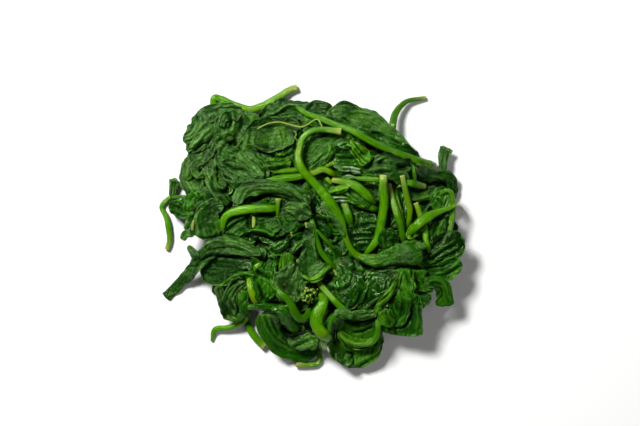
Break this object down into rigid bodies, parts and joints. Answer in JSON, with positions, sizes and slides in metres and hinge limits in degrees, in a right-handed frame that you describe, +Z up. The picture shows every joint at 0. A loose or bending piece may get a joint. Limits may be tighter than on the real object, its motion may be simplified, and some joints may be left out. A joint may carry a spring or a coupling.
{
  "type": "spinach bunch",
  "caption": "Low heap of blanched spinach: limp pleated leaves and cut stems lying over one another.",
  "frame": {"origin": "under the middle of the bunch, on the surface it lies on", "axes": "+Z up, +X to the right and +Y to the top of the picture, which looks straight down"},
  "size_m": [0.154, 0.1436, 0.0249],
  "materials": {
    "leaf_green": "wet dark green leaf",
    "leaf_grey_green": "wet grey-green leaf with a soft sheen",
    "stem_green": "wet bright yellow-green stem"
  },
  "bodies": {
    "root": {"inner_leaves": "leaf_green", "leaf_arched_ribbon": "leaf_green", "leaf_bottom_arch": "leaf_green", "leaf_bottom_round": "leaf_green", "leaf_corner": "leaf_grey_green", "leaf_corner_inner": "leaf_grey_green", "leaf_crinkled": "leaf_grey_green", "leaf_crinkled_low": "leaf_grey_green", "leaf_grey_cup": "leaf_grey_green", "leaf_hanging_cup": "leaf_grey_green", "leaf_left_high": "leaf_grey_green", "leaf_left_low": "leaf_grey_green", "leaf_left_middle": "leaf_grey_green", "leaf_left_tongue": "leaf_grey_green", "leaf_long_tail": "leaf_grey_green", "leaf_lower_dark": "leaf_green", "leaf_lower_left": "leaf_grey_green", "leaf_lower_right_corner": "leaf_green", "leaf_lower_right_long": "leaf_green", "leaf_lower_right_wide": "leaf_green", "leaf_oval": "leaf_green", "leaf_right_loop": "leaf_green", "leaf_right_ridged": "leaf_green", "leaf_right_rim": "leaf_green", "leaf_right_tongue": "leaf_green", "leaf_rolled": "leaf_grey_green", "leaf_small_curl": "leaf_green", "leaf_top_cup": "leaf_grey_green", "leaf_under_long_stem": "leaf_green", "leaf_upper_right": "leaf_green", "leaf_wet_centre": "leaf_green", "leaf_wet_side": "leaf_green", "leaf_wet_top": "leaf_green", "leaf_wrinkled": "leaf_grey_green", "leaf_zigzag": "leaf_green", "midrib_upper_right": "stem_green", "stem_bottom": "stem_green", "stem_bottom_left": "stem_green", "stem_centre_left": "stem_green", "stem_cut_pale": "stem_green", "stem_hook": "stem_green", "stem_left_outer": "stem_green", "stem_long": "stem_green", "stem_lower_left": "stem_green", "stem_lower_middle": "stem_green", "stem_lower_right": "stem_green", "stem_middle": "stem_green", "stem_olive": "stem_green", "stem_right_down": "stem_green", "stem_right_edge": "stem_green", "stem_right_reach": "stem_green", "stem_right_strip": "stem_green", "stem_slanting": "stem_green", "stem_thick": "stem_green", "stem_top_left": "stem_green", "stem_top_right": "stem_green", "stem_upright_dark": "stem_green", "stem_upright_pale": "stem_green", "stem_upright_thin": "stem_green"}
  },
  "joints": []
}
